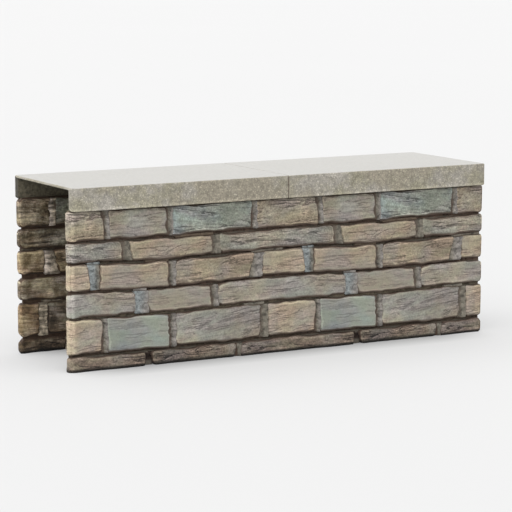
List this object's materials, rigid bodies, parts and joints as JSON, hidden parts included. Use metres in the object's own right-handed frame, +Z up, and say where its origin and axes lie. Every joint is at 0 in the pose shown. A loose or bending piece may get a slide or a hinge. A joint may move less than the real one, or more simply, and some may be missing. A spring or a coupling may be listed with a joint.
{
  "type": "hollow stone block wall section",
  "caption": "Hollow length of low stone wall: thin leaves of coursed blocks on both sides of an open core, under channel-shaped coping slabs, with open ends for the next length.",
  "frame": {"origin": "on the ground, at the centre of the wall's length and width", "axes": "+X along the wall, -Y out of the front leaf, +Z up"},
  "size_m": [2, 0.576, 0.75],
  "materials": {
    "stone": "weathered, split-faced walling stone in mixed grey, buff and slate-blue blocks",
    "mortar": "dark, rough, deeply raked bed mortar with paler upright joints",
    "coping": "fine-grained, speckled, matt sandstone with worn arrises"
  },
  "bodies": {
    "root": {"front_course_1": "stone", "front_course_2": "stone", "front_course_3": "stone", "front_course_4": "stone", "front_course_5": "stone", "front_course_6": "stone", "front_bed_1": "mortar", "front_bed_2": "mortar", "front_bed_3": "mortar", "front_bed_4": "mortar", "front_bed_5": "mortar", "front_coping_bed": "mortar", "back_course_1": "stone", "back_course_2": "stone", "back_course_3": "stone", "back_course_4": "stone", "back_course_5": "stone", "back_course_6": "stone", "back_bed_1": "mortar", "back_bed_2": "mortar", "back_bed_3": "mortar", "back_bed_4": "mortar", "back_bed_5": "mortar", "back_coping_bed": "mortar", "coping_left": "coping", "coping_right": "coping", "coping_joint": "mortar"}
  },
  "joints": []
}
